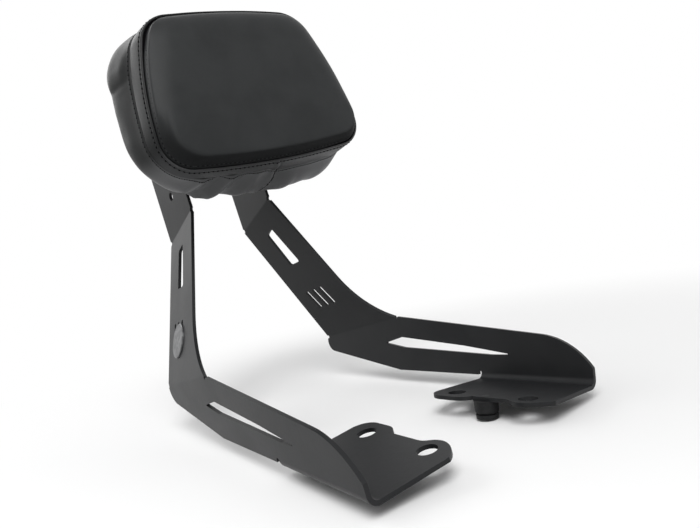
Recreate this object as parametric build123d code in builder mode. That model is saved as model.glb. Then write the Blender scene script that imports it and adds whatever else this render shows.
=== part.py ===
# Motorcycle backrest: two folded plate arms with bolt-on feet carry a padded rest
# on a U-shaped bracket. Millimetres. +Y points rearwards, +X to the rider's left,
# +Z up. The origin is midway between the two rear foot holes, on the undersides.
from build123d import *
import os
from math import hypot, radians, sqrt, tan

os.makedirs("parts", exist_ok=True)

# Plate of the arms
plate = 3.0
fold_radius = 5.0
bend_radius = 4.0
elbow_relief_d = 3.6
tab_relief_d = 4.4

# Foot of an arm, measured outwards and rearwards from its rear hole
foot_track = 91.4
foot_pitch = 65.0
foot_hole_d = 14.2
foot_hole_inset = 59.5
foot_splay = 6.4
foot_toe = 3.5
foot_rear = 20.0
foot_front = 84.0
rear_lobe_radius = 14.0
rear_lobe_reach = 8.0
recess_inset = 6.9
recess_front = 48.0
neck_inset = 9.6
neck_front = 56.0
front_lobe_inset = 12.2
front_lobe_middle = 70.0
front_lobe_nose = 86.2
relief_gap = 3.6
relief_top = 6.0

# Lower limb, measured rearwards from the rear hole and up from the underside
limb_bottom = 5.5
nose_height = 15.5
nose_top = (-42.0, 40.6)
nose_slope = 6.3
heel_start = 120.0
heel_end = (233.5, 24.0)
heel_radius = 12.0
elbow_front = (119.0, 58.0)
elbow_rear = (231.0, 38.7)
elbow_angle = 25.0
lower_slot = [(-15.0, 23.6), (7.0, 23.0), (112.0, 27.7), (138.5, 31.8), (114.0, 37.8), (36.0, 30.4)]
slot_corner = 0.5

# Upper limb, measured rearwards along and up from the elbow bend
rear_slope = 11.95
front_slope = 15.03
front_knee = (47.1, 60.0)
upper_slot = [(85.3, 91.0), (103.0, 91.0), (110.7, 131.0), (97.3, 135.8)]
upper_slot_corner = 2.5
vent_centre = (88.0, 46.0)
vent_length = 25.0
vent_width = 5.0
vent_pitch = 12.0
vent_lean = 20.0

# Tab of an arm, in a plane that leans back
tab_outer = 44.1
tab_lean = 14.0
tab_front = (221.0, 201.8)
tab_width = 70.3
tab_height = 101.0
tab_corner = 12.0
tab_hole_d = 8.6
tab_hole_rise = 17.7
tab_hole_pitch = 33.0

# Guide peg under the left foot
peg_place = (-2.0, -29.0)
peg_hole_d = 6.1
peg_d = 19.0
peg_tip_d = 16.5
peg_length = 13.3
peg_groove = 1.6
peg_groove_height = 3.0
peg_screw_length = 10.0
peg_screw_head_d = 10.0
peg_screw_head = 6.0
peg_well_d = 11.0
peg_slit = 1.6
peg_slit_depth = 2.0
peg_slit_height = 5.0

# Disc on the right arm
disc_place = (86.0, 39.2)
disc_d = 32.0
disc_thickness = 1.6
disc_bevel = 0.6

# Pad, measured from the middle of its front seam, which leans back and sits a
# little turned on the bracket
pad_lean = 10.2
pad_turn = 4.2
seam_middle = (139.4, 292.5)
seam_bottom_half = 102.5
seam_top_half = 77.0
seam_bottom = 72.0
seam_top = 62.0
seam_bottom_radius = 25.7
seam_top_radius = 32.4
side_bow = 8.1
bottom_bow = 6.3
top_bow = 4.2
pad_depth = 50.6
back_bottom_half = 108.3
back_top_half = 94.9
back_bottom = 78.9
back_top = 61.0
back_bottom_radius = 65.0
back_top_radius = 37.9
crown_steps = [(0, 0), (3.0, 3.6), (8.0, 7.8), (14.0, 10.6), (20.0, 12.0)]
band_width = 17.5
cover = 1.5
soft_gap = 0.3
board = 9.0
board_inset = 6.0

# Bracket between pad and tabs
web_low = -50.0
web_high = 46.0
cheek_end_radius = 15.0
bracket_fold = 3.0
bracket_plate = 3.0
web_window = (34.0, 40.0)
web_window_corner = 6.0
pad_screw_spread = (56.0, 68.0)

# Fasteners
bolt_d = 8.0
bolt_length = 18.0
bolt_head_d = 13.0
bolt_head = 5.3
bolt_socket = 5.0
washer_d = 16.0
washer = 1.6
nut_flats = 13.0
nut_height = 8.0
nut_flange_d = 17.0
nut_flange = 1.5
screw_d = 6.0
screw_length = 20.0
screw_head_d = 10.5
screw_head = 3.3
screw_socket = 4.0
small_washer_d = 12.0
small_washer = 1.2
tee_flange_d = 19.0
tee_flange = 1.2
tee_barrel_d = 8.0
tee_barrel = 7.5
pocket_d = 23.0
pocket_depth = 9.0
screw_hole_d = 6.6
wash_gap = 0.2
run_gap = 0.05

# Planes of one arm, on the rider's left
foot = Plane((foot_track / 2, 0, 0)).rotated((0, foot_splay, foot_toe), Extrinsic.XYZ)
limb = Plane(foot.from_local_coords((foot_hole_inset, 0, 0)), x_dir=foot.y_dir, z_dir=foot.x_dir)
elbow_start = limb.from_local_coords(elbow_front)
elbow_line = Axis(elbow_start, limb.from_local_coords(elbow_rear) - elbow_start)
upper = Plane(
    elbow_start,
    x_dir=elbow_line.direction,
    z_dir=limb.z_dir.rotate(Axis((0, 0, 0), elbow_line.direction), -elbow_angle),
)
tab = Plane((tab_outer, *tab_front), Vector(0, 1, 0).rotate(Axis.X, -tab_lean), (1, 0, 0))
tab_line = upper.intersect(tab)


# The plane that halves the corner between two panels
def mitre(line, below, above):
    across = (below.z_dir + above.z_dir).cross(line.direction)
    return Plane(line.position, x_dir=line.direction, z_dir=across if across.Z > 0 else -across)


# The step from the outer corner of two panels to the inner one
def corner_step(below, above):
    return (below + above) * (-plate / (1 + below.dot(above)))


# Where the tab's bend crosses the tab, at a distance from the tab's front edge
def on_tab_line(run):
    return tab_line.intersect(Plane(tab.from_local_coords((run, 0, 0)), z_dir=tab.x_dir))


elbow_mitre = mitre(elbow_line, limb, upper)
tab_mitre = mitre(tab_line, upper, tab)
elbow_length = hypot(elbow_rear[0] - elbow_front[0], elbow_rear[1] - elbow_front[1])
tab_ends = [on_tab_line(0), on_tab_line(tab_width)]
tab_middle = tab_width / 2
tab_holes = [(tab_middle, tab_hole_rise + i * tab_hole_pitch) for i in range(3)]
lobe_joint = -rear_lobe_reach - sqrt(rear_lobe_radius**2 - recess_inset**2)

with BuildPart() as foot_panel:
    with BuildSketch(foot) as foot_outline:
        with BuildLine():
            Polyline(
                (1, -front_lobe_nose),
                (foot_hole_inset - 2 * fold_radius, -foot_front),
                (foot_hole_inset, -foot_front),
                (foot_hole_inset, foot_rear),
                (0, foot_rear),
            )
            rear_arc = TangentArc(
                (0, foot_rear),
                (-rear_lobe_radius, foot_rear - rear_lobe_radius),
                tangent=(-1, 0),
            )
            side = Line(rear_arc @ 1, (-rear_lobe_radius, -rear_lobe_reach))
            lobe = TangentArc(side @ 1, (-recess_inset, lobe_joint), tangent=(0, -1))
            recess = Line(lobe @ 1, (-recess_inset, -recess_front))
            neck = TangentArc(recess @ 1, (-neck_inset, -neck_front), tangent=(0, -1))
            swell = TangentArc(neck @ 1, (-front_lobe_inset, -front_lobe_middle), tangent=neck % 1)
            TangentArc(swell @ 1, (1, -front_lobe_nose), tangent=swell % 1)
        make_face()
        with Locations((0, 0), (0, -foot_pitch)):
            Circle(foot_hole_d / 2, mode=Mode.SUBTRACT)
    extrude(amount=plate)

with BuildPart() as limb_panel:
    with BuildSketch(limb) as limb_outline:
        with BuildLine():
            Polyline(
                (-foot_front, nose_height),
                (-foot_front, 0),
                (foot_rear + relief_gap, 0),
                (foot_rear + relief_gap, limb_bottom),
                (heel_start, limb_bottom),
                heel_end,
                elbow_rear,
                elbow_front,
                nose_top,
            )
            TangentArc(
                nose_top,
                (-foot_front, nose_height),
                tangent=Vector(-1, 0).rotate(Axis.Z, nose_slope),
            )
        make_face()
        fillet(limb_outline.vertices().sort_by_distance(heel_end)[0], heel_radius)
    extrude(amount=-plate)
    with BuildSketch(limb) as lower_opening:
        with BuildLine():
            Polyline(*lower_slot, close=True)
        make_face()
        fillet(lower_opening.vertices(), slot_corner)
    extrude(amount=-plate, mode=Mode.SUBTRACT)
    with BuildSketch(limb):
        with Locations((foot_rear + relief_gap / 2, relief_top / 2)):
            SlotOverall(2 * relief_top, relief_gap, rotation=90)
    extrude(amount=-plate, mode=Mode.SUBTRACT)
    split(bisect_by=elbow_mitre, keep=Keep.BOTTOM)

rear_run = tan(radians(rear_slope))
front_run = tan(radians(front_slope))
upper_reach = max(upper.to_local_coords(spot).Y for spot in tab_ends) + 2 * plate

with BuildPart() as upper_panel:
    with BuildSketch(upper):
        with BuildLine():
            TangentArc(front_knee, (0, 0), tangent=(-front_run, -1))
            Polyline(
                (0, 0),
                (elbow_length, 0),
                (elbow_length + rear_run * upper_reach, upper_reach),
                (front_knee[0] + front_run * (upper_reach - front_knee[1]), upper_reach),
                front_knee,
            )
        make_face()
        with Locations(vent_centre):
            with GridLocations(vent_pitch, 0, 3, 1):
                SlotOverall(vent_length, vent_width, rotation=90 - vent_lean, mode=Mode.SUBTRACT)
    extrude(amount=-plate)
    with BuildSketch(upper) as upper_opening:
        with BuildLine():
            Polyline(*upper_slot, close=True)
        make_face()
        fillet(upper_opening.vertices(), upper_slot_corner)
    extrude(amount=-plate, mode=Mode.SUBTRACT)
    split(bisect_by=elbow_mitre)
    split(bisect_by=tab_mitre, keep=Keep.BOTTOM)

with BuildPart() as tab_panel:
    with BuildSketch(tab) as tab_outline:
        Rectangle(tab_width, 2 * tab_height, align=(Align.MIN, Align.CENTER))
        fillet(tab_outline.vertices().group_by(Axis.Y)[-1], tab_corner)
        with Locations(*tab_holes):
            Circle(tab_hole_d / 2, mode=Mode.SUBTRACT)
    extrude(amount=-plate)
    split(bisect_by=tab_mitre)

# The four panels joined, notched at the ends of the upper bends, and each of the
# three corners rounded on both faces so that the wall stays one plate thick
with BuildPart() as arm:
    add([foot_panel.part, limb_panel.part, upper_panel.part, tab_panel.part])
    elbow_ends = [elbow_start, limb.from_local_coords(elbow_rear)]
    with Locations(*[Plane(spot, z_dir=upper.z_dir) for spot in elbow_ends]):
        Cylinder(elbow_relief_d / 2, 4 * plate, mode=Mode.SUBTRACT)
    with Locations(*[Plane(spot, z_dir=tab.z_dir) for spot in tab_ends]):
        Cylinder(tab_relief_d / 2, 4 * plate, mode=Mode.SUBTRACT)
    elbow_middle = (elbow_ends[0] + elbow_ends[1]) / 2
    rounds = [
        (limb.origin, fold_radius + plate),
        (limb.origin + corner_step(-foot.z_dir, limb.z_dir), fold_radius),
        (elbow_middle, bend_radius + plate),
        (elbow_middle + corner_step(limb.z_dir, upper.z_dir), bend_radius),
        (on_tab_line(tab_middle), bend_radius),
        (on_tab_line(tab_middle) + corner_step(upper.z_dir, tab.z_dir), bend_radius + plate),
    ]
    for spot, radius in rounds:
        fillet(arm.edges().sort_by_distance(spot)[0], radius)

with BuildPart() as left_arm:
    add(arm.part)
    with BuildSketch(foot):
        with Locations(peg_place):
            Circle(peg_hole_d / 2)
    extrude(amount=plate, mode=Mode.SUBTRACT)
left_arm.part.label = "left_arm"
export_step(left_arm.part, "parts/left_arm.step")

with BuildPart() as right_arm:
    mirror(arm.part, about=Plane.YZ)
right_arm.part.label = "right_arm"
export_step(right_arm.part, "parts/right_arm.step")

# Peg under the left foot, on a screw that enters the foot from below
peg_seat = Plane(foot.from_local_coords(peg_place), x_dir=foot.x_dir, z_dir=-foot.z_dir)
peg_well = peg_length + plate - peg_screw_length

with BuildPart() as guide_peg:
    with BuildSketch(peg_seat):
        Circle(peg_d / 2)
    with BuildSketch(peg_seat.offset(peg_length)):
        Circle(peg_tip_d / 2)
    loft()
    with BuildSketch(peg_seat.offset(peg_length - peg_groove_height)):
        Circle(peg_d / 2)
        Circle(peg_tip_d / 2 - peg_groove, mode=Mode.SUBTRACT)
    extrude(amount=-peg_groove, mode=Mode.SUBTRACT)
    with Locations(peg_seat.offset(peg_length)):
        CounterBoreHole(screw_d / 2 + run_gap, peg_well_d / 2, peg_well)
    with Locations(peg_seat):
        with Locations((0, -peg_d / 2, 0)):
            Box(peg_slit, 2 * peg_slit_depth, 2 * peg_slit_height, mode=Mode.SUBTRACT)
guide_peg.part.label = "guide_peg"
export_step(guide_peg.part, "parts/guide_peg.step")

with BuildPart() as guide_peg_screw:
    with Locations(peg_seat.offset(peg_length - peg_well)):
        Cylinder(peg_screw_head_d / 2, peg_screw_head, align=(Align.CENTER, Align.CENTER, Align.MIN))
        Cylinder(screw_d / 2, peg_screw_length, align=(Align.CENTER, Align.CENTER, Align.MAX))
    with BuildSketch(peg_seat.offset(peg_length - peg_well + peg_screw_head)):
        RegularPolygon(bolt_socket / 2, 6, major_radius=False)
    extrude(amount=-peg_screw_head / 2, mode=Mode.SUBTRACT)
guide_peg_screw.part.label = "guide_peg_screw"
export_step(guide_peg_screw.part, "parts/guide_peg_screw.step")

with BuildPart() as left_disc:
    with BuildSketch(upper):
        with Locations(disc_place):
            Circle(disc_d / 2)
    extrude(amount=disc_thickness)
    chamfer(left_disc.faces().sort_by(Axis(upper.origin, upper.z_dir))[-1].edges(), disc_bevel)

with BuildPart() as trim_disc:
    mirror(left_disc.part, about=Plane.YZ)
trim_disc.part.label = "trim_disc"
export_step(trim_disc.part, "parts/trim_disc.step")

# Pad: the z axis of its seam plane points forwards
forwards = Vector(0, -1, 0).rotate(Axis.X, -pad_lean)
seam = Plane((0, *seam_middle), x_dir=(1, 0, 0), z_dir=forwards)
turned = Plane(seam.origin, x_dir=seam.x_dir.rotate(Axis((0, 0, 0), forwards), pad_turn), z_dir=forwards)
back_face = seam.offset(-pad_depth)
web_front = back_face.offset(-soft_gap)


# A rounded outline with four bowed sides, drawn in by an inset
def pad_outline(plane, bottom_half, top_half, bottom, top, bottom_radius, top_radius, inset):
    with BuildSketch(plane) as outline:
        with BuildLine():
            low = inset - bottom
            high = top - inset
            low_half = bottom_half - inset
            high_half = top_half - inset
            ThreePointArc((-low_half, low), (0, low - bottom_bow), (low_half, low))
            ThreePointArc((-high_half, high), (0, high + top_bow), (high_half, high))
            for side in (1, -1):
                ThreePointArc(
                    (side * low_half, low),
                    (side * ((low_half + high_half) / 2 + side_bow), (low + high) / 2),
                    (side * high_half, high),
                )
        make_face()
        fillet(outline.vertices().group_by(Axis.Y)[-1], top_radius - inset)
        fillet(outline.vertices().group_by(Axis.Y)[0], bottom_radius - inset)
    return outline.sketch


def seam_outline(inset, height):
    return pad_outline(
        turned.offset(height),
        seam_bottom_half,
        seam_top_half,
        seam_bottom,
        seam_top,
        seam_bottom_radius,
        seam_top_radius,
        inset,
    )


def back_outline(inset, depth):
    return pad_outline(
        turned.offset(-depth),
        back_bottom_half,
        back_top_half,
        back_bottom,
        back_top,
        back_bottom_radius,
        back_top_radius,
        inset,
    )


crown = crown_steps[-1][1]


# The crowned front of the pad, forwards of the seam plane
def pad_front(inset):
    with BuildPart() as front:
        for step, rise in crown_steps:
            add(seam_outline(inset + step, rise * (1 - inset / crown)))
        loft()
    return front.part


# A slice of the pad between two depths behind the seam plane
def pad_slice(inset, front, back):
    with BuildPart() as block:
        add(seam_outline(inset, 0))
        add(back_outline(inset, pad_depth))
        loft()
        if front > 0:
            split(bisect_by=seam.offset(-front), keep=Keep.BOTTOM)
        if back < pad_depth:
            split(bisect_by=seam.offset(-back))
    return block.part


screw_columns, screw_rows = pad_screw_spread
web_middle = (web_low + web_high) / 2


# Planes at the pad screws, seen from the front, at a depth behind the seam plane
def screw_planes(depth):
    across = screw_columns / 2
    rows = (web_middle - screw_rows / 2, web_middle + screw_rows / 2)
    spots = [seam.from_local_coords((x, row, -depth)) for x in (-across, across) for row in rows]
    return Locations(*[Plane(spot, seam.x_dir, seam.z_dir) for spot in spots])


front_skin = pad_front(0)
front_core = pad_front(cover)
front_foam = pad_front(cover + soft_gap)
board_depth = pad_depth - cover - soft_gap - board
rear_foam = pad_slice(cover + soft_gap, 0, board_depth - soft_gap)
band_block = pad_slice(0, soft_gap, band_width)
skirt_block = pad_slice(0, band_width + soft_gap, pad_depth)
rear_core = pad_slice(cover, 0, pad_depth)
back_sheet = pad_slice(cover + soft_gap, pad_depth - cover, pad_depth)
board_face = back_outline(board_inset, board_depth)

with BuildPart() as pad_cover_front:
    add(front_skin)
    add(front_core, mode=Mode.SUBTRACT)
pad_cover_front.part.label = "pad_cover_front"
export_step(pad_cover_front.part, "parts/pad_cover_front.step")

with BuildPart() as pad_cover_band:
    add(band_block)
    add(rear_core, mode=Mode.SUBTRACT)
pad_cover_band.part.label = "pad_cover_band"
export_step(pad_cover_band.part, "parts/pad_cover_band.step")

with BuildPart() as pad_cover_skirt:
    add(skirt_block)
    add(rear_core, mode=Mode.SUBTRACT)
pad_cover_skirt.part.label = "pad_cover_skirt"
export_step(pad_cover_skirt.part, "parts/pad_cover_skirt.step")

with BuildPart() as pad_cover_back:
    add(back_sheet)
    with screw_planes(pad_depth):
        Cylinder(tee_barrel_d / 2, 2 * board, mode=Mode.SUBTRACT)
pad_cover_back.part.label = "pad_cover_back"
export_step(pad_cover_back.part, "parts/pad_cover_back.step")

with BuildPart() as pad_board:
    extrude(board_face, amount=-board)
    with screw_planes(board_depth):
        Cylinder(tee_barrel_d / 2 + run_gap, 3 * board, mode=Mode.SUBTRACT)
pad_board.part.label = "pad_board"
export_step(pad_board.part, "parts/pad_board.step")

with BuildPart() as pad_foam:
    add(front_foam)
    add(rear_foam)
    with screw_planes(board_depth):
        Cylinder(pocket_d / 2, 2 * pocket_depth, mode=Mode.SUBTRACT)
pad_foam.part.label = "pad_foam"
export_step(pad_foam.part, "parts/pad_foam.step")

# Bracket: a web behind the pad and two cheeks that reach back between the tabs
cheek_outer = tab_outer - plate
cheek = Plane((cheek_outer, web_front.origin.Y, web_front.origin.Z), -seam.z_dir, (1, 0, 0))
bolt_spots = [cheek.to_local_coords(tab.from_local_coords((*spot, 0))) for spot in tab_holes[1:]]

with BuildPart() as pad_bracket:
    with BuildSketch(cheek) as cheek_outline:
        with Locations((0, web_low)):
            Rectangle(2 * bracket_plate, web_high - web_low, align=(Align.MIN, Align.MIN))
        with Locations(*[(spot.X, spot.Y) for spot in bolt_spots]):
            Circle(cheek_end_radius)
        make_hull(cheek_outline.edges())
        with Locations(*[(spot.X, spot.Y) for spot in bolt_spots]):
            Circle(tab_hole_d / 2, mode=Mode.SUBTRACT)
    extrude(amount=-bracket_plate)
    mirror(about=Plane.YZ)
    with BuildSketch(web_front) as web_outline:
        with Locations((0, web_middle)):
            Rectangle(2 * cheek_outer, web_high - web_low)
    extrude(amount=-bracket_plate)
    with BuildSketch(web_front):
        with Locations((0, web_middle)):
            RectangleRounded(*web_window, web_window_corner)
    extrude(amount=-bracket_plate, mode=Mode.SUBTRACT)
    for side in (1, -1):
        outer = Vector(side * cheek_outer, 0, 0) + web_front.from_local_coords((0, web_middle, 0))
        inner = outer - Vector(side * bracket_plate, 0, 0) - seam.z_dir * bracket_plate
        fillet(pad_bracket.edges().sort_by_distance(outer)[0], bracket_fold + bracket_plate)
        fillet(pad_bracket.edges().sort_by_distance(inner)[0], bracket_fold)
    with screw_planes(pad_depth):
        Cylinder(screw_hole_d / 2, 3 * bracket_plate, mode=Mode.SUBTRACT)
pad_bracket.part.label = "pad_bracket"
export_step(pad_bracket.part, "parts/pad_bracket.step")

# Fasteners, each drawn once about its own axis and set on its seats
with BuildPart() as bolt:
    Cylinder(bolt_head_d / 2, bolt_head, align=(Align.CENTER, Align.CENTER, Align.MIN))
    fillet(bolt.edges().sort_by(Axis.Z)[-1], bolt_head / 2)
    Cylinder(bolt_d / 2, bolt_length, align=(Align.CENTER, Align.CENTER, Align.MAX))
    chamfer(bolt.edges().sort_by(Axis.Z)[0], bolt_d / 10)
    with BuildSketch(Plane.XY.offset(bolt_head)):
        RegularPolygon(bolt_socket / 2, 6, major_radius=False)
    extrude(amount=-bolt_head / 2, mode=Mode.SUBTRACT)

with BuildPart() as bolt_washer:
    Cylinder(washer_d / 2, washer)
    Cylinder(bolt_d / 2 + wash_gap, washer, mode=Mode.SUBTRACT)

with BuildPart() as bolt_nut:
    with BuildSketch():
        RegularPolygon(nut_flats / 2, 6, major_radius=False)
    extrude(amount=nut_height)
    with BuildSketch():
        Circle(nut_flange_d / 2)
    extrude(amount=nut_flange)
    with BuildSketch():
        Circle(bolt_d / 2 + run_gap)
    extrude(amount=nut_height, mode=Mode.SUBTRACT)

with BuildPart() as screw:
    Cylinder(screw_head_d / 2, screw_head, align=(Align.CENTER, Align.CENTER, Align.MIN))
    fillet(screw.edges().sort_by(Axis.Z)[-1], screw_head / 2)
    Cylinder(screw_d / 2, screw_length, align=(Align.CENTER, Align.CENTER, Align.MAX))
    chamfer(screw.edges().sort_by(Axis.Z)[0], screw_d / 10)
    with BuildSketch(Plane.XY.offset(screw_head)):
        RegularPolygon(screw_socket / 2, 6, major_radius=False)
    extrude(amount=-screw_head / 2, mode=Mode.SUBTRACT)

with BuildPart() as screw_washer:
    Cylinder(small_washer_d / 2, small_washer)
    Cylinder(screw_d / 2 + wash_gap, small_washer, mode=Mode.SUBTRACT)

with BuildPart() as tee_nut:
    Cylinder(tee_flange_d / 2, tee_flange, align=(Align.CENTER, Align.CENTER, Align.MIN))
    Cylinder(tee_barrel_d / 2, tee_barrel, align=(Align.CENTER, Align.CENTER, Align.MAX))
    with BuildSketch(Plane.XY.offset(tee_flange)):
        Circle(screw_d / 2 + run_gap)
    extrude(amount=-tee_barrel - tee_flange, mode=Mode.SUBTRACT)


# Planes at a tab's bolts, facing away from the pad's middle, at a height off the tab
def bolt_planes(height):
    spots = [tab.from_local_coords((*spot, height)) for spot in tab_holes[1:]]
    return Locations(*[Plane(spot, tab.x_dir, tab.z_dir) for spot in spots])


with BuildPart() as left_tab_bolts:
    with bolt_planes(washer):
        add(bolt.part)
left_tab_bolts.part.label = "left_tab_bolts"
export_step(left_tab_bolts.part, "parts/left_tab_bolts.step")

with BuildPart() as right_tab_bolts:
    mirror(left_tab_bolts.part, about=Plane.YZ)
right_tab_bolts.part.label = "right_tab_bolts"
export_step(right_tab_bolts.part, "parts/right_tab_bolts.step")

with BuildPart() as left_tab_washers:
    with bolt_planes(washer / 2):
        add(bolt_washer.part)
left_tab_washers.part.label = "left_tab_washers"
export_step(left_tab_washers.part, "parts/left_tab_washers.step")

with BuildPart() as right_tab_washers:
    mirror(left_tab_washers.part, about=Plane.YZ)
right_tab_washers.part.label = "right_tab_washers"
export_step(right_tab_washers.part, "parts/right_tab_washers.step")

with BuildPart() as left_tab_nuts:
    with bolt_planes(-plate - bracket_plate):
        add(bolt_nut.part, rotation=(180, 0, 0))
left_tab_nuts.part.label = "left_tab_nuts"
export_step(left_tab_nuts.part, "parts/left_tab_nuts.step")

with BuildPart() as right_tab_nuts:
    mirror(left_tab_nuts.part, about=Plane.YZ)
right_tab_nuts.part.label = "right_tab_nuts"
export_step(right_tab_nuts.part, "parts/right_tab_nuts.step")

web_back = pad_depth + soft_gap + bracket_plate

with BuildPart() as pad_screws:
    with screw_planes(web_back + small_washer):
        add(screw.part, rotation=(180, 0, 0))
pad_screws.part.label = "pad_screws"
export_step(pad_screws.part, "parts/pad_screws.step")

with BuildPart() as pad_washers:
    with screw_planes(web_back + small_washer / 2):
        add(screw_washer.part)
pad_washers.part.label = "pad_washers"
export_step(pad_washers.part, "parts/pad_washers.step")

with BuildPart() as pad_tee_nuts:
    with screw_planes(board_depth):
        add(tee_nut.part)
pad_tee_nuts.part.label = "pad_tee_nuts"
export_step(pad_tee_nuts.part, "parts/pad_tee_nuts.step")
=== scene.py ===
# Looks of the motorcycle backrest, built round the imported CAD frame
import math

import bmesh
import bpy
from mathutils import Matrix, Vector, geometry, kdtree, noise


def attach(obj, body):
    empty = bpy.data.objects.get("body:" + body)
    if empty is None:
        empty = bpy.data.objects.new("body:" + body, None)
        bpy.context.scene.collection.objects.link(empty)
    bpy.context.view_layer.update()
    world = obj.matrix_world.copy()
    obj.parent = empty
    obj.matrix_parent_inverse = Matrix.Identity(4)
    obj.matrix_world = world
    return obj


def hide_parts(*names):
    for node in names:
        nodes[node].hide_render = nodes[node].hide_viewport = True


mm = 0.001

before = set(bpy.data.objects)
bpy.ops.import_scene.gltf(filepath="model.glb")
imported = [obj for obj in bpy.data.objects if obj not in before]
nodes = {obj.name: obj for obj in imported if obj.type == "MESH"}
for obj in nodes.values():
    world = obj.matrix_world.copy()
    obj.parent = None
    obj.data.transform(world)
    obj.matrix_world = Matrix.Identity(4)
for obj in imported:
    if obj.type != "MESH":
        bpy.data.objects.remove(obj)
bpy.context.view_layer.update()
print("frame loaded")

# Camera, set to the photo's view
camera = {
    "place": (-0.29626, -0.35661, 0.14312),
    "aim": (0.03563, 0.08961, 0.11277),
    "roll": -11.04,  # degrees about the line of sight
    "lens": 32.743,
    "shift": (-0.0026, 0.0017),
}


def addCamera():
    data = bpy.data.cameras.new("photoCamera")
    data.lens = camera["lens"]
    data.shift_x, data.shift_y = camera["shift"]
    data.clip_end = 60
    eye = bpy.data.objects.new("photoCamera", data)
    bpy.context.scene.collection.objects.link(eye)
    place = Vector(camera["place"])
    turn = (Vector(camera["aim"]) - place).to_track_quat("-Z", "Y").to_matrix().to_4x4()
    eye.matrix_world = Matrix.Translation(place) @ turn @ Matrix.Rotation(math.radians(camera["roll"]), 4, "Z")
    bpy.context.scene.camera = eye


addCamera()
print("camera set")


# A socket that takes part in sums
class Link:
    def __init__(self, tree, socket):
        self.tree = tree
        self.socket = socket

    def node(self, kind, settings, inputs, output=0):
        made = self.tree.nodes.new(kind)
        for name, value in settings.items():
            setattr(made, name, value)
        for name, value in inputs.items():
            feed(self.tree, made.inputs[name], value)
        return Link(self.tree, made.outputs[output])

    def math(self, operation, first, second=0.0):
        return self.node("ShaderNodeMath", {"operation": operation}, {0: first, 1: second})

    def __add__(self, other):
        return self.math("ADD", self, other)

    def __radd__(self, other):
        return self.math("ADD", other, self)

    def __sub__(self, other):
        return self.math("SUBTRACT", self, other)

    def __rsub__(self, other):
        return self.math("SUBTRACT", other, self)

    def __mul__(self, other):
        return self.math("MULTIPLY", self, other)

    def __rmul__(self, other):
        return self.math("MULTIPLY", other, self)

    def smooth(self, low, high):
        settings = {"interpolation_type": "SMOOTHSTEP"}
        return self.node("ShaderNodeMapRange", settings, {"Value": self, "From Min": low, "From Max": high})

    def mix(self, first, second):
        settings = {"data_type": "RGBA"}
        return self.node("ShaderNodeMix", settings, {0: self, 6: first, 7: second}, output=2)


def feed(tree, socket, value):
    if isinstance(value, Link):
        tree.links.new(value.socket, socket)
    elif isinstance(value, tuple) and socket.type == "RGBA":
        socket.default_value = (*value, 1.0)
    else:
        socket.default_value = value


def newMaterial(name, **uniform):
    material = bpy.data.materials.new(name)
    material.use_nodes = True
    tree = material.node_tree
    shader = tree.nodes["Principled BSDF"]
    for socket, value in uniform.items():
        feed(tree, shader.inputs[socket.replace("_", " ")], value)
    place = Link(tree, tree.nodes.new("ShaderNodeTexCoord").outputs["Object"])
    return material, shader, place


def noiseAt(place, scale, detail=2.0, rough=0.5):
    return place.node("ShaderNodeTexNoise", {}, {"Vector": place, "Scale": scale, "Detail": detail, "Roughness": rough})


def bump(height, distance, strength=1.0, under=None):
    inputs = {"Height": height, "Distance": distance, "Strength": strength}
    if under:
        inputs["Normal"] = under
    return height.node("ShaderNodeBump", {}, inputs)


def join(shader, **varying):
    for socket, link in varying.items():
        link.tree.links.new(link.socket, shader.inputs[socket.replace("_", " ")])


# Every finish has a darker and a brighter colour, its roughness, and the sizes of its marks in repeats a metre

# Satin powder coat on the folded plates
coat = {
    "colour": (0.0095, 0.0100, 0.0109),
    "bright": (0.0140, 0.0145, 0.0153),
    "gloss": 0.2,
    "rough": 0.37,
    "cloud": 22.0,
    "waves": 160.0,
    "dust": 420.0,
    "pebble": 900.0,
}


def powderCoat():
    material, shader, place = newMaterial("satinCoat", Specular_IOR_Level=coat["gloss"])
    cloudy = noiseAt(place, coat["cloud"], 3.0).smooth(0.35, 0.7)
    grain = noiseAt(place, coat["pebble"], 1.0)
    broad = noiseAt(place, coat["waves"], 2.0)
    dust = noiseAt(place, coat["dust"], 4.0, 0.7).smooth(0.66, 0.8)
    join(
        shader,
        Base_Color=(cloudy * 0.7 + dust * 0.3).mix(coat["colour"], coat["bright"]),
        Roughness=coat["rough"] + cloudy * 0.05 + grain * 0.06,
        Normal=bump(grain, 0.00005, 0.6, bump(broad, 0.00012, 0.4)),
    )
    return material


# Black metal of the bolts, screws and nuts
steel = {
    "colour": (0.045, 0.045, 0.047),
    "bright": (0.085, 0.084, 0.082),
    "rough": 0.34,
    "worn": 90.0,
    "scratch": 1560.0,
}


def darkSteel():
    material, shader, place = newMaterial("blackOxideSteel", Metallic=1.0)
    worn = noiseAt(place, steel["worn"], 4.0, 0.6).smooth(0.45, 0.75)
    fine = noiseAt(place, steel["scratch"], 2.0)
    join(
        shader,
        Base_Color=worn.mix(steel["colour"], steel["bright"]),
        Roughness=steel["rough"] + fine * 0.14,
        Normal=bump(fine, 0.00003, 0.5),
    )
    return material


# Plated steel of the nuts in the board
zinc = {"colour": (0.42, 0.41, 0.36), "bright": (0.62, 0.61, 0.56), "rough": 0.28, "cloud": 130.0, "grain": 1500.0}


def zincSteel():
    material, shader, place = newMaterial("zincSteel", Metallic=1.0)
    cloudy = noiseAt(place, zinc["cloud"], 3.0)
    join(
        shader,
        Base_Color=cloudy.mix(zinc["colour"], zinc["bright"]),
        Roughness=zinc["rough"] + cloudy * 0.2,
        Normal=bump(noiseAt(place, zinc["grain"]), 0.00003, 0.5),
    )
    return material


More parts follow.
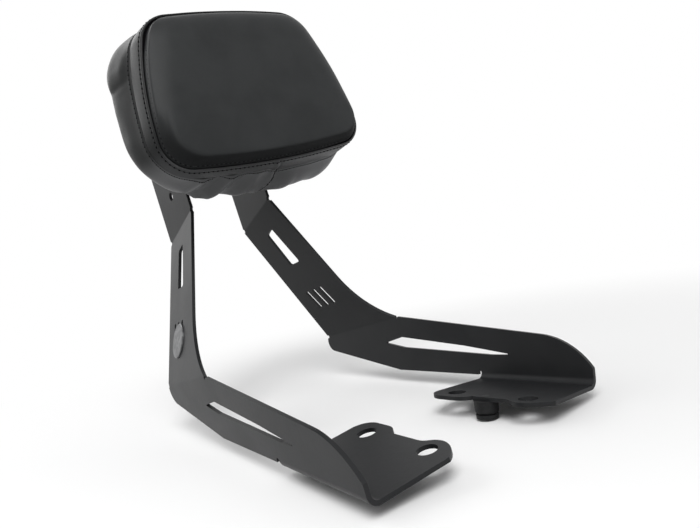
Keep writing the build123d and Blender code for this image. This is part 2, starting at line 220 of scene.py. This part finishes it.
# Moulded plastic of the peg
pegPlastic = {
    "colour": (0.007, 0.0072, 0.0076),
    "bright": (0.012, 0.012, 0.0125),
    "gloss": 0.2,
    "rough": 0.5,
    "mottle": 240.0,
    "grain": 1400.0,
}


def mouldedPlastic():
    material, shader, place = newMaterial("mouldedPlastic", Specular_IOR_Level=pegPlastic["gloss"])
    mottle = noiseAt(place, pegPlastic["mottle"], 3.0)
    join(
        shader,
        Base_Color=mottle.smooth(0.4, 0.7).mix(pegPlastic["colour"], pegPlastic["bright"]),
        Roughness=pegPlastic["rough"] + mottle * 0.12,
        Normal=bump(noiseAt(place, pegPlastic["grain"], 2.0), 0.00006, 0.6),
    )
    return material


# Cast, satin grey metal of the plain disc
disc = {
    "colour": (0.10, 0.102, 0.104),
    "bright": (0.20, 0.20, 0.204),
    "metal": 0.85,
    "rough": 0.38,
    "cast": 210.0,
    "pits": 900.0,
}


def discMetal():
    material, shader, place = newMaterial("discMetal", Metallic=disc["metal"])
    cast = noiseAt(place, disc["cast"], 4.0, 0.65)
    pits = noiseAt(place, disc["pits"], 2.0)
    join(
        shader,
        Base_Color=cast.smooth(0.35, 0.68).mix(disc["colour"], disc["bright"]),
        Roughness=disc["rough"] + cast * 0.16,
        Normal=bump(pits, 0.00005, 0.7, bump(cast, 0.0002, 0.5)),
    )
    return material


# Plywood of the board, its grain drawn out along x
ply = {"colour": (0.42, 0.27, 0.14), "bright": (0.60, 0.44, 0.27), "rough": 0.7, "grain": (12.0, 160.0, 160.0)}


def plyWood():
    material, shader, place = newMaterial("plyWood", Roughness=ply["rough"])
    drawn = place.node("ShaderNodeMapping", {}, {"Vector": place, "Scale": ply["grain"]})
    grain = noiseAt(drawn, 1.0, 4.0, 0.6)
    join(
        shader,
        Base_Color=grain.smooth(0.35, 0.65).mix(ply["colour"], ply["bright"]),
        Normal=bump(grain, 0.0002, 0.5),
    )
    return material


# Leathercloth of the pad's front panel
panelLeather = {
    "colour": (0.0180, 0.0191, 0.0197),
    "bright": (0.0250, 0.0264, 0.0271),
    "paintedShadeColour": (0.0078, 0.0083, 0.0087),  # painted shade, where the cover's painted-shade attribute is 1
    "paintedReflection": (0.1500, 0.1510, 0.1550),  # painted reflection of the floor, where its painted-reflection attribute is 1
    "gloss": 0.13,
    "rough": 0.36,
    "cloud": 28.0,
    "grain": 1150.0,
    "pores": 2600.0,
}
# and of its sides
sideLeather = {
    **panelLeather,
    "colour": (0.0100, 0.0105, 0.0106),
    "bright": (0.0150, 0.0156, 0.0158),
    "gloss": 0.15,
    "rough": 0.34,
}


def leatherCloth(name, spec):
    material, shader, place = newMaterial(name, Specular_IOR_Level=spec["gloss"])
    inputs = {"Vector": place, "Scale": spec["grain"]}
    crease = place.node("ShaderNodeTexVoronoi", {"feature": "DISTANCE_TO_EDGE"}, inputs).smooth(0.0, 0.16)
    pores = noiseAt(place, spec["pores"], 1.0)
    cloudy = noiseAt(place, spec["cloud"], 3.0, 0.55).smooth(0.3, 0.72)
    # The cover's painted shade darkens the colour at the panel's foot, and its painted reflection lightens the
    # underside
    paintedShade, paintedReflection = (place.node("ShaderNodeAttribute", {"attribute_name": key}, {}, 2) for key in ("paintedShade", "paintedReflection"))
    plain = (cloudy * 0.75 + crease * 0.25).mix(spec["colour"], spec["bright"])
    join(
        shader,
        Base_Color=paintedReflection.mix(paintedShade.mix(plain, spec["paintedShadeColour"]), spec["paintedReflection"]),
        Roughness=spec["rough"] + cloudy * 0.06 + (1 - crease) * 0.10 + paintedShade * 0.4,
        Normal=bump(pores, 0.00002, 0.4, bump(crease, 0.00003, 0.5)),
    )
    return material


# The shadowed inside of a seam and of its needle holes
shade = {
    "colour": (0.0016, 0.0016, 0.0018),
    "bright": (0.004, 0.004, 0.0044),
    "gloss": 0.02,
    "rough": 0.9,
    "lint": 700.0,
}


def seamShade():
    material, shader, place = newMaterial("seamShade", Specular_IOR_Level=shade["gloss"], Roughness=shade["rough"])
    join(shader, Base_Color=noiseAt(place, shade["lint"]).mix(shade["colour"], shade["bright"]))
    return material


# Twisted black thread
thread = {
    "colour": (0.006, 0.0065, 0.007),
    "bright": (0.018, 0.019, 0.020),
    "gloss": 0.2,
    "rough": 0.42,
    "twist": 900.0,
}


def threadCloth():
    material, shader, place = newMaterial("blackThread", Specular_IOR_Level=thread["gloss"])
    inputs = {"Vector": place, "Scale": thread["twist"], "Distortion": 2.0}
    twist = place.node("ShaderNodeTexWave", {"wave_type": "BANDS"}, inputs, 1)
    join(
        shader,
        Base_Color=twist.mix(thread["colour"], thread["bright"]),
        Roughness=thread["rough"] + twist * 0.2,
        Normal=bump(twist, 0.00008, 0.8),
    )
    return material


finishes = {
    "satinCoat": powderCoat(),
    "darkSteel": darkSteel(),
    "zincSteel": zincSteel(),
    "mouldedPlastic": mouldedPlastic(),
    "discMetal": discMetal(),
    "plyWood": plyWood(),
    "panelCloth": leatherCloth("panelCloth", panelLeather),
    "sideCloth": leatherCloth("sideCloth", sideLeather),
    "seamShade": seamShade(),
    "thread": threadCloth(),
}
print("finishes made")

nodeFinish = {
    "left_arm": "satinCoat",
    "right_arm": "satinCoat",
    "pad_bracket": "satinCoat",
    "guide_peg": "mouldedPlastic",
    "guide_peg_screw": "darkSteel",
    "trim_disc": "discMetal",
    "pad_board": "plyWood",
    "pad_tee_nuts": "zincSteel",
}


def dressNodes():
    for name, node in nodes.items():
        finish = finishes[nodeFinish.get(name, "darkSteel")]
        for slot in node.material_slots:
            slot.material = finish


dressNodes()
print("CAD nodes dressed")


# From 0 to 1 as the value does, with soft ends
def soften(value):
    value = min(max(value, 0.0), 1.0)
    return value * value * (3 - 2 * value)


# 1 in the middle and fading out to both sides
def hump(gap, wide):
    return math.exp(-((gap / wide) ** 2))


# Pad: outlines in millimetres, as in the CAD model, measured from the middle of its seam
pad = {
    "middle": (0.0, 139.4, 292.5),
    "lean": 10.2,
    "turn": 4.2,
    "depth": 50.6,
    "seam": {
        "bottomHalf": 102.5, "topHalf": 77.0, "bottom": 72.0, "top": 62.0, "bottomRadius": 25.7, "topRadius": 32.4,
    },
    "back": {
        "bottomHalf": 108.3, "topHalf": 94.9, "bottom": 78.9, "top": 61.0, "bottomRadius": 60.0, "topRadius": 37.9,
    },
    "secondSeam": 17.5,  # its depth
    "bows": {"side": 8.0, "bottom": 6.3, "top": 4.2},
    "plateauRound": (24.0, 12.0, 6.0, 8.0),  # what the corners of the crown's top are rounder by
    "plateauFrom": 3.0,  # the inset where that starts, and over how far it grows
    "plateauOver": 9.0,
    "cornerSteps": 24,
    "sideSteps": (112, 44, 56, 56),
    # depth behind the seam plane and inset from the outline, from the crown to the back. The crown has
    # two such pairs: the gentle one of the top and sides, then the steep one of the bottom
    "crown": [
        (-12.0, 26.0, -12.0, 26.0), (-11.8, 21.0, -12.0, 17.0), (-11.4, 17.0, -11.9, 12.0), (-10.8, 14.0, -11.7, 9.0),
        (-10.0, 11.6, -11.2, 7.8), (-9.1, 9.7, -10.5, 7.2), (-8.2, 8.2, -9.6, 6.8), (-7.2, 7.0, -8.5, 6.4),
        (-6.1, 6.0, -7.2, 5.9), (-5.0, 5.2, -5.7, 5.4), (-3.8, 4.5, -4.2, 4.9), (-2.5, 3.9, -2.7, 4.3),
        (-1.2, 3.5, -1.4, 3.8), (-0.2, 3.3, -0.3, 3.3),
    ],
    "groove": [(0.5, 3.3), (1.1, 3.2), (1.4, 2.7), (1.2, 2.1)],
    "band": [
        (0.8, 1.7), (0.4, 1.2), (0.3, 0.7), (0.6, 0.2), (1.3, -0.1), (2.4, -0.05), (3.1, 0.15), (3.6, 0.3),
        (4.1, 0.15), (5.0, 0.0), (6.5, -0.1), (9.0, -0.2), (12.0, -0.15), (14.5, 0.0), (16.0, 0.15), (16.8, 0.5),
    ],
    "crease": [(17.1, 1.0), (17.5, 1.9), (17.9, 1.0)],
    "skirt": [
        (18.3, 0.4), (19.2, 0.2), (20.5, 0.2), (23.0, 0.0), (26.0, -0.5), (29.5, -1.2),
        (33.5, -1.9), (37.5, -2.3), (41.0, -2.2), (44.0, -1.6), (46.5, -0.5), (48.4, 1.0), (49.6, 3.0), (50.3, 6.0),
    ],
    "rear": [(50.4, 9.0), (50.2, 13.0), (50.3, 18.0)],
    "centreShares": [0.86, 0.7, 0.52, 0.34, 0.17, 0.05],
    "centreRise": 0.6,
    # the slack form that the simulation fills
    "slack": [
        (-9.0, 26.0), (-8.6, 14.0), (-5.0, 7.0), (0.0, 3.6), (5.0, 1.6), (12.0, 1.4), (17.5, 2.2), (24.0, 1.5),
        (32.0, 0.2), (40.0, -0.6), (46.0, 0.6), (49.5, 5.0), (50.0, 16.0),
    ],
    "sewnAt": [(1.0, 5.0), (17.5, 6.0)],  # depths where a seam holds the form, and how far each hold reaches
    "stapledFrom": (44.0, 4.0),  # where the hold of the board starts, and over how far it grows
    "voxel": 4.5,
    "pressure": 4.0,
    "frames": 20,
    "cap": 2.6,
    "blur": 13.0,
    "frontShare": 0.2,  # how much of the filling the board and the sewn panel let through
    # the crown's left side bows down and then drops to its seam
    "leftFall": 5.2,
    "leftRun": 22.7,
    "leftDrop": (3.2, 0.7),  # its inset, and over how far
    "leftSide": (-56.0, 24.0),  # where across the pad this starts, and over how far
}


def padFrame():
    lean = math.radians(pad["lean"])
    forwards = Vector((0, -math.cos(lean), math.sin(lean)))
    across = Matrix.Rotation(math.radians(pad["turn"]), 3, forwards) @ Vector((1, 0, 0))
    turn = Matrix((across, forwards.cross(across), forwards)).transposed().to_4x4()
    return Matrix.Scale(mm, 4) @ Matrix.Translation(pad["middle"]) @ turn


toWorld = padFrame()
fromWorld = toWorld.inverted()
toTurn = toWorld.copy()
toTurn.translation = (0, 0, 0)


# Centre and radius of the arc that bows out between two corners
def bowedSide(start, end, bow):
    half = (end - start).length / 2
    outward = Vector((end.y - start.y, start.x - end.x)).normalized()
    radius = (half * half + bow * bow) / (2 * bow)
    return (start + end) / 2 - outward * (radius - bow), radius


# Points round the pad, share 0 at the seam and 1 at the back, drawn in by an inset
def padOutline(share, inset):
    low, high = pad["seam"], pad["back"]
    size = {key: low[key] + (high[key] - low[key]) * share for key in low}
    right, rise = size["bottomHalf"] - inset, size["top"] - inset
    top, fall = size["topHalf"] - inset, inset - size["bottom"]
    more = soften((inset - pad["plateauFrom"]) / pad["plateauOver"]) if share == 0 else 0
    corners = [Vector((-right, fall)), Vector((right, fall)), Vector((top, rise)), Vector((-top, rise))]
    bows = [pad["bows"][key] for key in ("bottom", "side", "top", "side")]
    radii = [size[key] - inset for key in ("bottomRadius", "bottomRadius", "topRadius", "topRadius")]
    radii = [radius + more * extra for radius, extra in zip(radii, pad["plateauRound"])]
    sides = [bowedSide(corners[k], corners[(k + 1) % 4], bows[k]) for k in range(4)]
    centres = []
    for k in range(4):
        (c1, r1), (c2, r2) = sides[k - 1], sides[k]
        meets = geometry.intersect_sphere_sphere_2d(c1, r1 - radii[k], c2, r2 - radii[k])
        centres.append(min(meets, key=lambda spot: (spot - corners[k]).length))
    points = []
    for k in range(4):
        middle, radius = sides[k]
        after = (k + 1) % 4
        begin = math.atan2(*reversed(centres[k] - middle))
        end = math.atan2(*reversed(centres[after] - middle))
        points += arcPoints(middle, radius, begin, end, pad["sideSteps"][k])
        nextMiddle = sides[after][0]
        begin = math.atan2(*reversed(centres[after] - middle))
        end = math.atan2(*reversed(centres[after] - nextMiddle))
        points += arcPoints(centres[after], radii[after], begin, end, pad["cornerSteps"])
    return points


def arcPoints(middle, radius, begin, end, steps):
    sweep = (end - begin + math.pi) % (2 * math.pi) - math.pi
    angles = [begin + sweep * step / steps for step in range(steps)]
    return [middle + radius * Vector((math.cos(a), math.sin(a))) for a in angles]


# Folds of the skirt: two ends as (across, depth), half width and height in millimetres
folds = [
    {"start": (-80, 34), "end": (-68, 18), "wide": 4.0, "high": 2.6},
    {"start": (-73, 47), "end": (-53, 20), "wide": 4.0, "high": -3.8},
    {"start": (-60, 51), "end": (-40, 19), "wide": 4.2, "high": 3.2},
    {"start": (-48, 50), "end": (-26, 24), "wide": 4.6, "high": -1.8},
    {"start": (-32, 50), "end": (-14, 22), "wide": 4.4, "high": 1.4},
    {"start": (-69, 50), "end": (-67, 46), "wide": 3.6, "high": 4.6},
    {"start": (-16, 48), "end": (-4, 26), "wide": 5.0, "high": -0.8},
    {"start": (26, 50), "end": (36, 28), "wide": 5.0, "high": -1.0},
    {"start": (54, 48), "end": (66, 26), "wide": 5.0, "high": 1.0},
]


def foldHeight(across, depth):
    height = 0.0
    spot = Vector((across, depth))
    for fold in folds:
        start, end = Vector(fold["start"]), Vector(fold["end"])
        reach = (spot - start).dot(end - start) / (end - start).length_squared
        gap = (spot - start.lerp(end, min(max(reach, 0.0), 1.0))).length
        height += fold["high"] * hump(gap, fold["wide"])
    return height


# Where the cover's own cut departs from the plain outline, in millimetres
cut = {
    "slowWave": (34.0, 1.3),  # unevenness of the walls, as size and height
    "quickWave": (15.0, 0.35),
    "sag": 5.2,  # how far the skirt hangs below the board
    "sagPast": 2.4,  # and how much more past the join, with its place and width
    "sagPastAt": (24.0, 15.0),
    "bulge": 2.6,  # what stands out at the upper left, with its height on the pad and width
    "bulgeAt": (29.0, 13.0),
    "kink": -0.4,
    "kinkAt": (17.0, 3.0),
    "seamShift": 5.0,  # how much deeper the second seam runs past the join
    "seamReach": 15.0,
    "joinLine": [(3.5, 2.5), (8.0, 12.0), (8.5, 20.0), (5.0, 28.0), (-3.0, 38.0), (-9.0, 52.0)],  # across, depth
    "joinStep": 0.9,
    "joinEdge": (3.5, 5.0),  # place and width of the raised edge beside the join
    "joinNick": (1.3, 1.1),  # depth and width of the nick along it
    "gapShut": 1.3,  # how far the groove beside the first seam is drawn shut
}


def joinAt(depth):
    line = cut["joinLine"]
    for (x1, d1), (x2, d2) in zip(line, line[1:]):
        if depth <= d2:
            return x1 + (x2 - x1) * (depth - d1) / (d2 - d1)
    return line[-1][0]


# How far the cover stands out from its plain shape, in millimetres. The numbers in each soften say
# where on the pad a form starts and over how many millimetres it grows
def swell(spot, depth):
    wall = soften(depth / 4) * soften((50.5 - depth) / 5)
    rear = soften((depth - 18) / 10)
    height = unevenness(spot, depth) * wall * soften((depth - 12) / 14)
    if spot.y < -55:
        height += foldHeight(spot.x, depth) * wall * soften((depth - 16) / 6)
        height += hanging(spot.x) * soften((depth - 19) / 18) * soften((92 - spot.x) / 30)
        height += joinRidge(spot.x - joinAt(depth)) * wall
    if spot.x < -60:
        for name in ("bulge", "kink"):
            place, wide = cut[name + "At"]
            height += cut[name] * hump(spot.y - place, wide) * wall * rear
    return height


def unevenness(spot, depth):
    (slowSize, slowHeight), (quickSize, quickHeight) = cut["slowWave"], cut["quickWave"]
    slow = noise.noise(Vector((spot.x, spot.y, depth * 1.6)) / slowSize)
    quick = noise.noise(Vector((spot.x + 200, spot.y, depth * 2)) / quickSize)
    return slow * slowHeight + quick * quickHeight


def hanging(across):
    place, wide = cut["sagPastAt"]
    share = 0.4 * soften((across + 70) / 25) + 0.6 * soften((across + 45) / 30)
    return cut["sag"] * share + cut["sagPast"] * hump(across - place, wide)


def joinRidge(gap):
    (place, edge), (nick, wide) = cut["joinEdge"], cut["joinNick"]
    return cut["joinStep"] * (soften(1 - abs(gap + place) / edge) - nick * hump(gap, wide))


# The second seam runs deeper on the bottom past the join
def seamDepth(spot, depth):
    if spot.y > -50:
        return depth
    near = soften(1 - abs(depth - pad["secondSeam"]) / cut["seamReach"])
    past = soften((spot.x - 3) / 7) * soften((96 - spot.x) / 20)
    before = 0.6 * soften((2 - spot.x) / 8) * soften((spot.x + 96) / 20)
    return depth + cut["seamShift"] * near * (past - before) * soften((-50 - spot.y) / 10)


# How open the gap beside the seam is: wide at the top and right, drawn shut at the left and bottom
def gapOpen(spot):
    return max(soften((spot.y - 22) / 26), 0.75 * soften((spot.x - 45) / 50))


# The crown's height at its left side
def leftHeight(inset):
    depth, start = pad["crown"][0][:2]
    low, over = pad["leftDrop"]
    fall = pad["leftFall"] * ((start - inset) / pad["leftRun"]) ** 2
    return (-depth - fall) * soften((inset - low) / over)


# Points round the pad at one depth and inset, with all that the cut does to them
def plainRing(depth, inset, bowed=False):
    share = min(max(depth / pad["depth"], 0.0), 1.0)
    inner = padOutline(share, inset)
    outer = padOutline(share, inset - 1)
    shut = cut["gapShut"] * soften((inset - 2.2) / 0.9) * soften((depth + 3.5) / 3) if depth < 1.6 else 0.0
    edge, over = pad["leftSide"]
    ring = []
    for p, q in zip(inner, outer):
        spot = p + (q - p) * (swell(p, depth) + shut * (1 - gapOpen(p)))
        height = -seamDepth(p, depth)
        if bowed and depth < 0:
            height += (leftHeight(inset) - height) * soften((edge - p.x) / over)
        ring.append(Vector((*spot, height)))
    return ring


# A ring from one depth and inset, or from the pairs of the gentle and the steep edge
def padRing(depth, inset, steepDepth=None, steepInset=None):
    gentle = plainRing(depth, inset, True)
    if steepDepth is None:
        return gentle
    steep = plainRing(steepDepth, steepInset)
    return [first.lerp(second, steepShare(first)) for first, second in zip(gentle, steep)]


# How steep the crown's edge is: full at the bottom, but not at its right end
def steepShare(spot):
    return soften((-18 - spot.y) / 34) * soften((112 - spot.x) / 30)


# How much painted shade darkens the leather where it is folded in at the panel's foot, and how much painted reflection
# of the floor lightens it underneath
def leatherTones(ring, key, stop):
    # painted shade: the steep foot of the crown, the groove, and a little of the band
    paintedShade = {"crown": soften((8.4 - stop[-1]) / 1.5), "groove": 1.0, "band": 0.15}.get(key, 0.0)
    # painted reflection of the floor: lighter colour on the skirt, the crease and the band underneath
    reflectionShare = {"skirt": 1.0, "crease": 0.6, "band": 0.4}.get(key, 0.0)
    tones = []
    for spot in ring:
        # more painted shade on the band towards its left end
        left = 0.85 * soften((-66 - spot.x) / 14) if key == "band" else 0.0
        along = 0.42 + 0.58 * soften((spot.x - 12) / 60) + 0.2 * soften((-55 - spot.x) / 25)
        tones.append(((paintedShade + left) * steepShare(spot), soften((-48 - spot.y) / 20) * along * reflectionShare))
    return tones


def shrunkRing(ring, share, rise):
    middle = sum(ring, Vector()) / len(ring)
    made = [middle.lerp(point, share) for point in ring]
    lift = rise * (1 - share * share)
    return [point + Vector((0, 0, lift)) for point in made]


# A skin through rings of points, closed at both ends, with the seam's shade on its dark rows and the
# side's cloth past the edge row
def ringSkin(name, rings, dark=(), edge=0, tones=None):
    skin = bmesh.new()
    # strengths of the painted shade and of the painted reflection at each point
    layers = [skin.verts.layers.float.new(key) for key in ("paintedShade", "paintedReflection")]
    ring = bmesh.ops.create_circle(skin, segments=len(rings[0]), radius=1)["verts"]
    edges = list(skin.edges)
    place = {}
    for row, points in enumerate(rings):
        if row:
            made = bmesh.ops.extrude_edge_only(skin, edges=edges)["geom"]
            fresh = {item for item in made if isinstance(item, bmesh.types.BMVert)}
            ring = [next(e.other_vert(v) for e in v.link_edges if e.other_vert(v) in fresh) for v in ring]
            edges = [item for item in made if isinstance(item, bmesh.types.BMEdge)]
            edges = [edge for edge in edges if edge.verts[0] in fresh and edge.verts[1] in fresh]
        for step, (vert, point) in enumerate(zip(ring, points)):
            vert.co = toWorld @ point
            place[vert] = (step, row)
            for layer, tone in zip(layers, tones[row][step] if tones else ()):
                vert[layer] = tone
        if row == 0:
            first = ring
    around = skin.loops.layers.uv.new("around")
    for face in skin.faces:
        row = min(place[vert][1] for vert in face.verts)
        face.material_index = 2 if row in dark else int(row > edge)
        steps = [place[loop.vert][0] for loop in face.loops]
        wrapped = max(steps) - min(steps) > 1
        for loop, step in zip(face.loops, steps):
            turn = step + len(rings[0]) if wrapped and step == 0 else step
            loop[around].uv = (turn / len(rings[0]), place[loop.vert][1] / len(rings))
    for end in (first, ring):
        middle = sum((vert.co for vert in end), Vector()) / len(end)
        bmesh.ops.pointmerge(skin, verts=end, merge_co=middle)
    bmesh.ops.recalc_face_normals(skin, faces=skin.faces)
    return meshObject(name, skin)


def meshObject(name, skin, smooth=True):
    mesh = bpy.data.meshes.new(name)
    skin.to_mesh(mesh)
    skin.free()
    for polygon in mesh.polygons:
        polygon.use_smooth = smooth
    made = bpy.data.objects.new(name, mesh)
    bpy.context.scene.collection.objects.link(made)
    return made


def closedRings(stops, rise):
    front, shares = padRing(*stops[0]), pad["centreShares"]
    rings = [shrunkRing(front, share, rise) for share in reversed(shares)]
    rings += [padRing(*stop) for stop in stops]
    return rings + [shrunkRing(rings[-1], share, 0.0) for share in shares]


# Fills the slack form with air between its sewn lines, and keeps how far each point moved
def fillSlackForm():
    slack = ringSkin("padSlack", closedRings(pad["slack"], 0.0))
    remesh = slack.modifiers.new("remesh", "REMESH")
    remesh.mode = "VOXEL"
    remesh.voxel_size = pad["voxel"] * mm
    graph = bpy.context.evaluated_depsgraph_get()
    mesh = bpy.data.meshes.new_from_object(slack.evaluated_get(graph))
    filled = bpy.data.objects.new("padFilled", mesh)
    bpy.context.scene.collection.objects.link(filled)
    bpy.data.objects.remove(slack)
    sewn = filled.vertex_groups.new(name="sewn")
    starts = [vert.co.copy() for vert in mesh.vertices]
    stapled, over = pad["stapledFrom"]
    for number, start in enumerate(starts):
        depth = -(fromWorld @ start).z
        held = max(1 - abs(depth - place) / reach for place, reach in pad["sewnAt"])
        sewn.add([number], min(max(held, (depth - stapled) / over, 0.0), 1.0), "REPLACE")
    cloth = filled.modifiers.new("cloth", "CLOTH")
    cloth.settings.vertex_group_mass = "sewn"
    cloth.settings.use_pressure = True
    cloth.settings.uniform_pressure_force = pad["pressure"]
    cloth.settings.effector_weights.gravity = 0.0
    for step in range(1, pad["frames"] + 1):
        bpy.context.scene.frame_set(step)
    graph = bpy.context.evaluated_depsgraph_get()
    ends = [vert.co.copy() for vert in filled.evaluated_get(graph).data.vertices]
    bpy.context.scene.frame_set(1)
    bpy.data.objects.remove(filled)
    tree = kdtree.KDTree(len(starts))
    moves = []
    for number, (start, end) in enumerate(zip(starts, ends)):
        tree.insert(start, number)
        move = end - start
        moves.append(move * min(1.0, pad["cap"] * mm / max(move.length, 1e-9)))
    tree.balance()
    print("largest move", round(max((end - start).length for start, end in zip(starts, ends)) * 1000, 1), "mm")
    return tree, moves


# How far the filling moves a spot: the moves of the points round it, the nearer the more
def movedBy(filling, spot):
    tree, moves = filling
    total, weights = Vector(), 1e-9
    for _, number, gap in tree.find_range(spot, pad["blur"] * mm):
        weight = (1 - (gap / (pad["blur"] * mm)) ** 2) ** 2
        total += moves[number] * weight
        weights += weight
    behind = soften((fromWorld @ spot).z / -6 + 0.5)
    return total / weights * (pad["frontShare"] + (1 - pad["frontShare"]) * behind)


def buildPad(filling):
    kinds = ("crown", "groove", "band", "crease", "skirt", "rear")
    parts = [key for key in kinds for _ in pad[key]]
    stops = [stop for key in kinds for stop in pad[key]]
    rings = closedRings(stops, pad["centreRise"])
    before = len(pad["centreShares"])
    dark = {before + row for row, key in enumerate(parts) if key == "groove"}
    dark |= {before + row - 1 for row, key in enumerate(parts) if key == "crease"}
    plain = [("centre", (0.0,))] * before
    rows = plain + list(zip(parts, stops)) + plain
    tones = [leatherTones(ring, key, stop) for ring, (key, stop) in zip(rings, rows)]
    cover = ringSkin("padCover", rings, dark, before + len(pad["crown"]), tones)
    for vert in cover.data.vertices:
        vert.co += movedBy(filling, vert.co)
    for finish in ("panelCloth", "sideCloth", "seamShade"):
        cover.data.materials.append(finishes[finish])
    smoother = cover.modifiers.new("smoother", "SUBSURF")
    smoother.levels = smoother.render_levels = 1
    smoother.use_limit_surface = False
    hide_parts("pad_cover_front", "pad_cover_band", "pad_cover_skirt", "pad_cover_back", "pad_foam")
    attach(cover, "root")


padFilling = fillSlackForm()
print("pad filled")
buildPad(padFilling)
print("pad built")

# Rows of stitches: where each runs, as depth and inset, with spacing, thread and needle holes in millimetres
stitches = {
    "rows": [
        {"name": "bandStitches", "run": (3.6, 0.22), "hole": 0.8, "part": False},
        {"name": "panelStitches", "run": (-2.0, 3.7, -1.6, 4.4), "hole": 0.6, "part": True},
        {"name": "seamStitches", "run": (19.6, 0.2), "hole": 0.55, "part": False},
    ],
    "pitch": 4.2,
    "length": 2.9,
    "thick": 0.75,
    "lift": 0.15,
}


# Points at even steps along a closed ring
def evenPoints(ring, count):
    closed = ring + [ring[0]]
    lengths = [(b - a).length for a, b in zip(closed, closed[1:])]
    step = sum(lengths) / count
    points, walked, leg = [], 0.0, 0
    for number in range(count):
        while walked + lengths[leg] < number * step:
            walked += lengths[leg]
            leg += 1
        points.append(closed[leg].lerp(closed[leg + 1], (number * step - walked) / lengths[leg]))
    return points


# A row of small long balls that lie along their points
def beads(name, points, size, finish):
    skin = bmesh.new()
    for number, point in enumerate(points):
        ahead = points[(number + 1) % len(points)] - points[number - 1]
        spin = ahead.to_track_quat("X", "Z").to_matrix().to_4x4()
        spot = toWorld @ point
        place = Matrix.Translation(spot + movedBy(padFilling, spot)) @ toTurn @ spin @ Matrix.Diagonal((*size, 1))
        bmesh.ops.create_uvsphere(skin, u_segments=8, v_segments=5, radius=1, matrix=place)
    made = meshObject(name, skin)
    made.data.materials.append(finishes[finish])
    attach(made, "root")


def buildStitches(row):
    run = [value - stitches["lift"] * (place % 2) for place, value in enumerate(row["run"])]
    ring = padRing(*run)
    total = sum((b - a).length for a, b in zip(ring, ring[1:] + ring[:1]))
    count = round(total / stitches["pitch"])
    points = evenPoints(ring, count * 2)
    if row["part"]:
        points = [point for point in points if gapOpen(point) < 0.4]
    thick, hole = stitches["thick"] / 2, row["hole"]
    beads(row["name"], points[::2], (stitches["length"] / 2, thick, thick), "thread")
    beads(row["name"] + "Holes", points[1::2], (hole * 1.2, hole, hole * 0.7), "seamShade")


# A dark line down the join of the skirt, from points on its surface
joinSeam = {"start": 19.0, "pitch": 0.9, "count": 34, "lift": 0.3, "size": (1.3, 0.6, 0.6)}


def buildJoin():
    stops = pad["skirt"]
    points = []
    for step in range(joinSeam["count"]):
        depth = joinSeam["start"] + step * joinSeam["pitch"]
        (d1, i1), (d2, i2) = next(pair for pair in zip(stops, stops[1:]) if depth <= pair[1][0])
        ring = padRing(depth, i1 + (i2 - i1) * (depth - d1) / (d2 - d1) - joinSeam["lift"])
        low = [point for point in ring if point.y < -55]
        points.append(min(low, key=lambda point: abs(point.x - joinAt(depth))))
    beads("joinLine", points, joinSeam["size"], "seamShade")


for row in stitches["rows"]:
    buildStitches(row)
buildJoin()
print("stitches sewn")

# Studio: floor height under the object, lamps as place, size and power
studio = {
    "floor": -0.0141,
    "floorRadius": 24.0,
    "floorColour": (0.84, 0.84, 0.84),
    "nearEdge": 0.30,  # where the floor starts to pass into white, and where it is white
    "farEdge": 0.75,
    "world": 0.45,  # strength of the white round the scene where it only lights things
    "lamps": [
        {"name": "keyLamp", "place": (-0.7, -0.9, 1.5), "size": 1.2, "power": 28.0, "aim": (0, 0.12, 0.2)},
        {"name": "fillLamp", "place": (1.3, -0.5, 0.9), "size": 1.4, "power": 0.8, "aim": (0, 0.12, 0.2)},
        {"name": "backLamp", "place": (-0.5, 1.5, 1.2), "size": 1.4, "power": 12.0, "aim": (0, 0.12, 0.2)},
        {"name": "sideLamp", "place": (-1.2, 0.9, 0.8), "size": 0.7, "power": 0.7, "aim": (0, 0.12, 0.2)},
    ],
}


# White to whatever sees it, and softer where it only lights things
def seenShare(tree):
    rays = tree.nodes.new("ShaderNodeLightPath")
    seen = [Link(tree, rays.outputs[key]) for key in ("Is Camera Ray", "Is Glossy Ray", "Is Transmission Ray")]
    shown = seen[0].math("MAXIMUM", seen[0], seen[1].math("MAXIMUM", seen[1], seen[2]))
    return studio["world"] + shown * (1 - studio["world"])


def buildFloor():
    skin = bmesh.new()
    bmesh.ops.create_circle(skin, cap_ends=True, segments=96, radius=studio["floorRadius"])
    bmesh.ops.translate(skin, verts=skin.verts, vec=(0, 0, studio["floor"]))
    floor = meshObject("studioFloor", skin, smooth=False)
    material, shader, place = newMaterial("paleFloor", Base_Color=studio["floorColour"], Roughness=0.9)
    tree = material.node_tree
    far = place.node("ShaderNodeVectorMath", {"operation": "LENGTH"}, {0: place}, 1)
    white = tree.nodes.new("ShaderNodeEmission")
    feed(tree, white.inputs["Strength"], seenShare(tree))
    blend = tree.nodes.new("ShaderNodeMixShader")
    feed(tree, blend.inputs[0], far.smooth(studio["nearEdge"], studio["farEdge"]))
    tree.links.new(shader.outputs[0], blend.inputs[1])
    tree.links.new(white.outputs[0], blend.inputs[2])
    tree.links.new(blend.outputs[0], tree.nodes["Material Output"].inputs["Surface"])
    floor.data.materials.append(material)


def buildWorld():
    world = bpy.data.worlds.new("studioWorld")
    world.use_nodes = True
    tree = world.node_tree
    background = tree.nodes["Background"]
    background.inputs["Color"].default_value = (1, 1, 1, 1)
    feed(tree, background.inputs["Strength"], seenShare(tree))
    bpy.context.scene.world = world


def addLamp(spec):
    data = bpy.data.lights.new(spec["name"], "AREA")
    data.shape = "DISK"
    data.size = spec["size"]
    data.energy = spec["power"]
    lamp = bpy.data.objects.new(spec["name"], data)
    bpy.context.scene.collection.objects.link(lamp)
    place = Vector(spec["place"])
    turn = (Vector(spec["aim"]) - place).to_track_quat("-Z", "Y").to_matrix().to_4x4()
    lamp.matrix_world = Matrix.Translation(place) @ turn


buildFloor()
buildWorld()
for spec in studio["lamps"]:
    addLamp(spec)
bpy.context.scene.view_settings.view_transform = "Standard"
print("studio lit")
